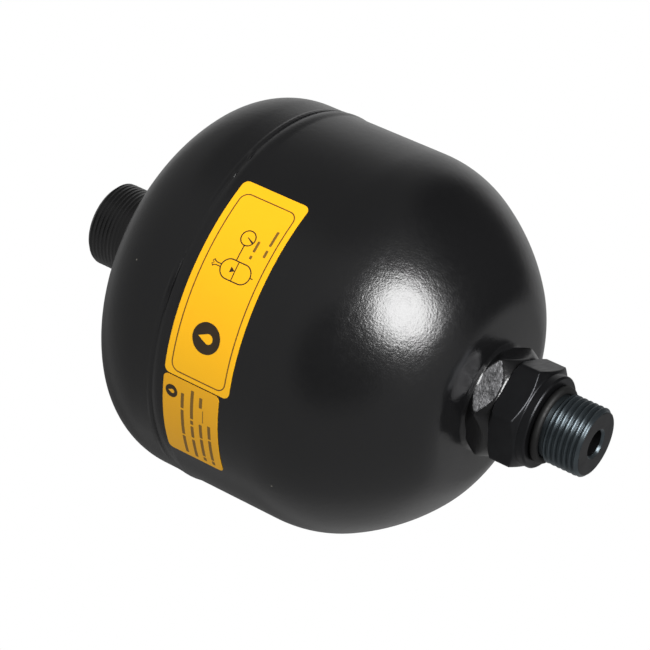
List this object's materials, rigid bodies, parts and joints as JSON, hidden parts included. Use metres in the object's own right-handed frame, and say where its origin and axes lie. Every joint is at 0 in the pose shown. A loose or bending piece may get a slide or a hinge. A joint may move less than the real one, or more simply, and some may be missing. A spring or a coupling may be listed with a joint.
{
  "type": "hydraulic accumulator",
  "caption": "Welded diaphragm accumulator: round steel shell with a threaded gas boss at one end and a hexagonal fluid port with a screwed-in adapter stud at the other.",
  "frame": {"origin": "on the axis of turning, 4.6 mm in front of the adapter collar's seating face, just inside the thread of the fluid stud", "axes": "+Z along the axis of turning from the fluid stud to the gas boss, -Y towards the middle of the main label"},
  "size_m": [0.1248, 0.1248, 0.1841],
  "materials": {
    "black_powder_coat": "satin powder coat with fine orange peel",
    "black_oxide_steel": "black oxide, oiled",
    "zinc_plated_steel": "zinc plated",
    "plain_steel": "turned",
    "black_rubber": "moulded",
    "nitrile_rubber": "moulded, matt",
    "yellow_label_film": "satin printed film",
    "ochre_label_film": "satin printed film"
  },
  "bodies": {
    "housing": {"gas_shell_half": "black_powder_coat", "fluid_shell_half": "black_powder_coat", "girth_weld": "black_powder_coat", "gas_boss": "black_powder_coat", "gas_boss_weld": "black_powder_coat", "charging_screw": "zinc_plated_steel", "charging_screw_seal": "black_rubber", "port_boss": "black_powder_coat", "port_boss_weld": "black_powder_coat", "adapter": "black_oxide_steel", "adapter_port_seal": "black_rubber", "adapter_stud_seal": "black_rubber", "diaphragm": "nitrile_rubber", "clamp_ring": "plain_steel", "main_label": "yellow_label_film", "small_label": "ochre_label_film"},
    "valve": {"valve_button": "plain_steel"}
  },
  "joints": [
    {"name": "valve_button_lift", "type": "slide", "parent": "housing", "child": "valve", "axis": [0, 0, 1], "range_m": [0, 0.055], "deforming": ["diaphragm"]}
  ]
}
